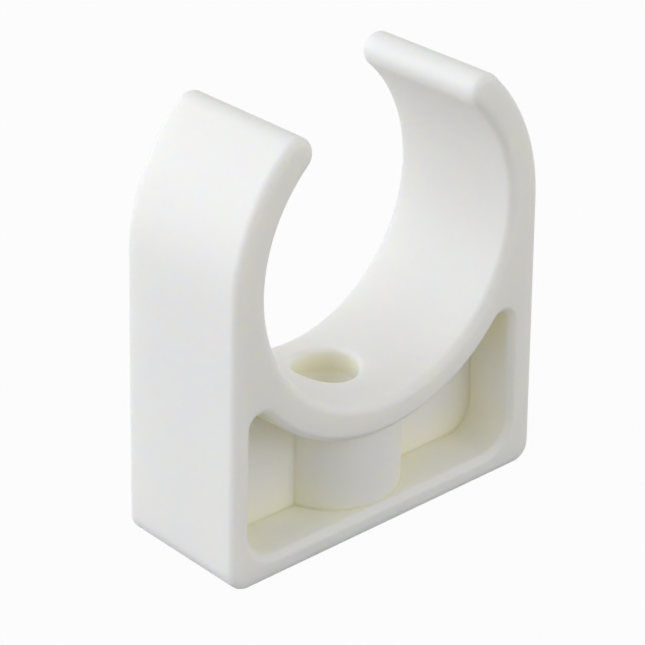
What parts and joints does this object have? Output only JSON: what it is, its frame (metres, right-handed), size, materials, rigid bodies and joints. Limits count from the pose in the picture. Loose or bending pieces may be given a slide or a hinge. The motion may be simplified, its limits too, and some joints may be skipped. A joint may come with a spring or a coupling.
{
  "type": "pipe clip",
  "caption": "Snap-in clip that holds a pipe clear of a wall, with an open mouth, rounded lips, a hollowed foot and a screw recess in its seat.",
  "frame": {"origin": "middle of the flat mounting face", "axes": "+Z from the mounting face towards the mouth, +Y along the pipe, +X across the clip"},
  "size_m": [0.051, 0.0204, 0.0567],
  "materials": {
    "plastic": "off-white moulded plastic with a satin skin"
  },
  "bodies": {
    "root": {"pipe_clip": "plastic"}
  },
  "joints": []
}
